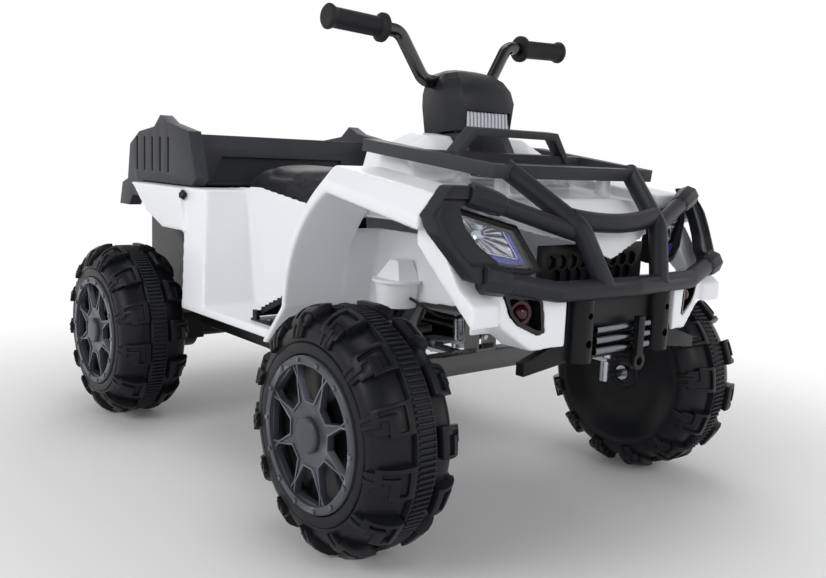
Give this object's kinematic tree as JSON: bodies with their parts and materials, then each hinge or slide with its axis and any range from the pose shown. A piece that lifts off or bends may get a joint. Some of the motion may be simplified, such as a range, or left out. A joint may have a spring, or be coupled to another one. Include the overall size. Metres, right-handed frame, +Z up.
{
  "type": "kids quad bike",
  "caption": "Battery ride-on quad bike for a child: lugged wheels, bent handlebar that steers the front axle, front rack, tubular bull bar, cushioned seat and rear cargo box.",
  "frame": {"origin": "on the ground under the middle of the bike", "axes": "+X forward, +Y to the rider's left, +Z up"},
  "size_m": [1.0759, 0.69, 0.6608],
  "materials": {
    "white_plastic": "gloss",
    "charcoal_plastic": "satin",
    "black_plastic": "satin",
    "tyre_plastic": "satin",
    "band_rubber": "matte",
    "graphite_plastic": "satin",
    "black_steel": "gloss",
    "zinc_steel": "satin",
    "grip_rubber": "matte",
    "clear_lens": "clear",
    "red_lens": "gloss",
    "roller_chrome": "polished",
    "seat_leather": "satin",
    "switch_red": "gloss",
    "switch_black": "gloss"
  },
  "bodies": {
    "chassis": {"axle_beam": "black_steel", "axle_brackets": "black_steel", "battery": "black_plastic", "body_shell": "white_plastic", "bull_bar": "charcoal_plastic", "cargo_side_left": "charcoal_plastic", "cargo_side_right": "charcoal_plastic", "cargo_tray": "charcoal_plastic", "centre_bumper": "charcoal_plastic", "chassis_frame": "black_steel", "fairlead_rollers": "roller_chrome", "fog_lamp_bezels": "black_plastic", "fog_lamp_lenses": "red_lens", "front_fascia": "white_plastic", "front_rack": "charcoal_plastic", "gearbox_left": "black_plastic", "gearbox_right": "black_plastic", "grille": "black_plastic", "guard_left": "charcoal_plastic", "guard_right": "charcoal_plastic", "headlight_housing_left": "black_plastic", "headlight_housing_right": "black_plastic", "headlight_lens_left": "clear_lens", "headlight_lens_right": "clear_lens", "hood": "white_plastic", "horn_housing": "white_plastic", "horn_wire": "grip_rubber", "pedal_base": "black_plastic", "rear_axle": "zinc_steel", "seat": "seat_leather", "steering_shroud": "charcoal_plastic", "under_tray": "black_plastic"},
    "steering": {"steering_column": "zinc_steel", "handlebar": "black_steel", "grip_right": "grip_rubber", "grip_left": "grip_rubber", "handlebar_pod": "charcoal_plastic", "pod_lens": "clear_lens"},
    "tie_rod": {"tie_rod": "zinc_steel"},
    "knuckle_right": {"knuckle_right": "zinc_steel"},
    "knuckle_left": {"knuckle_left": "zinc_steel"},
    "pedal": {"accelerator_pedal": "black_plastic"},
    "power_button": {"power_button": "switch_red"},
    "direction_rocker": {"direction_rocker": "switch_black"},
    "wheel_front_right": {"front_right_tyre": "tyre_plastic", "front_right_traction_band": "band_rubber", "front_right_rim": "graphite_plastic", "front_right_hub_cap": "graphite_plastic"},
    "wheel_front_left": {"front_left_tyre": "tyre_plastic", "front_left_traction_band": "band_rubber", "front_left_rim": "graphite_plastic", "front_left_hub_cap": "graphite_plastic"},
    "wheel_rear_right": {"rear_right_tyre": "tyre_plastic", "rear_right_traction_band": "band_rubber", "rear_right_rim": "graphite_plastic", "rear_right_hub_cap": "graphite_plastic"},
    "wheel_rear_left": {"rear_left_tyre": "tyre_plastic", "rear_left_traction_band": "band_rubber", "rear_left_rim": "graphite_plastic", "rear_left_hub_cap": "graphite_plastic"}
  },
  "joints": [
    {"name": "handlebar_turn", "type": "hinge", "parent": "chassis", "child": "steering", "pos_m": [0.222, 0, 0.193], "axis": [-0.0872, 0, 0.9962], "range_deg": [-25, 25]},
    {"name": "knuckle_right_turn", "type": "hinge", "parent": "chassis", "child": "knuckle_right", "pos_m": [0.341, -0.196, 0.2], "axis": [0, 0, 1], "range_deg": [-25, 25]},
    {"name": "knuckle_left_turn", "type": "hinge", "parent": "chassis", "child": "knuckle_left", "pos_m": [0.341, 0.196, 0.2], "axis": [0, 0, 1], "range_deg": [-25, 25]},
    {"name": "tie_rod_slide", "type": "slide", "parent": "chassis", "child": "tie_rod", "axis": [0, 1, 0], "range_m": [-0.02618, 0.02618]},
    {"name": "front_right_wheel_spin", "type": "hinge", "parent": "knuckle_right", "child": "wheel_front_right", "pos_m": [0.341, -0.282, 0.15], "axis": [0, 1, 0], "continuous": true},
    {"name": "front_left_wheel_spin", "type": "hinge", "parent": "knuckle_left", "child": "wheel_front_left", "pos_m": [0.341, 0.282, 0.15], "axis": [0, 1, 0], "continuous": true},
    {"name": "rear_right_wheel_spin", "type": "hinge", "parent": "chassis", "child": "wheel_rear_right", "pos_m": [-0.341, -0.282, 0.15], "axis": [0, 1, 0], "continuous": true},
    {"name": "rear_left_wheel_spin", "type": "hinge", "parent": "chassis", "child": "wheel_rear_left", "pos_m": [-0.341, 0.282, 0.15], "axis": [0, 1, 0], "continuous": true},
    {"name": "accelerator_press", "type": "hinge", "parent": "chassis", "child": "pedal", "pos_m": [0.018, -0.198, 0.229], "axis": [0, 1, 0], "range_deg": [0, 12], "stiffness_Nm_per_rad": 2, "springref_deg": -5.73},
    {"name": "power_button_press", "type": "slide", "parent": "chassis", "child": "power_button", "axis": [0.5299, 0, -0.8481], "range_m": [0, 0.002], "stiffness_N_per_m": 600, "springref_m": -0.001},
    {"name": "direction_rocker_tilt", "type": "hinge", "parent": "chassis", "child": "direction_rocker", "pos_m": [0.13606, 0.034, 0.47955], "axis": [0, 1, 0], "range_deg": [-10, 10]}
  ],
  "couplings": [
    {"joint": "knuckle_right_turn", "follows": "handlebar_turn", "ratio": 1},
    {"joint": "knuckle_left_turn", "follows": "handlebar_turn", "ratio": 1},
    {"joint": "tie_rod_slide", "follows": "handlebar_turn", "m_per_rad": -0.06}
  ]
}
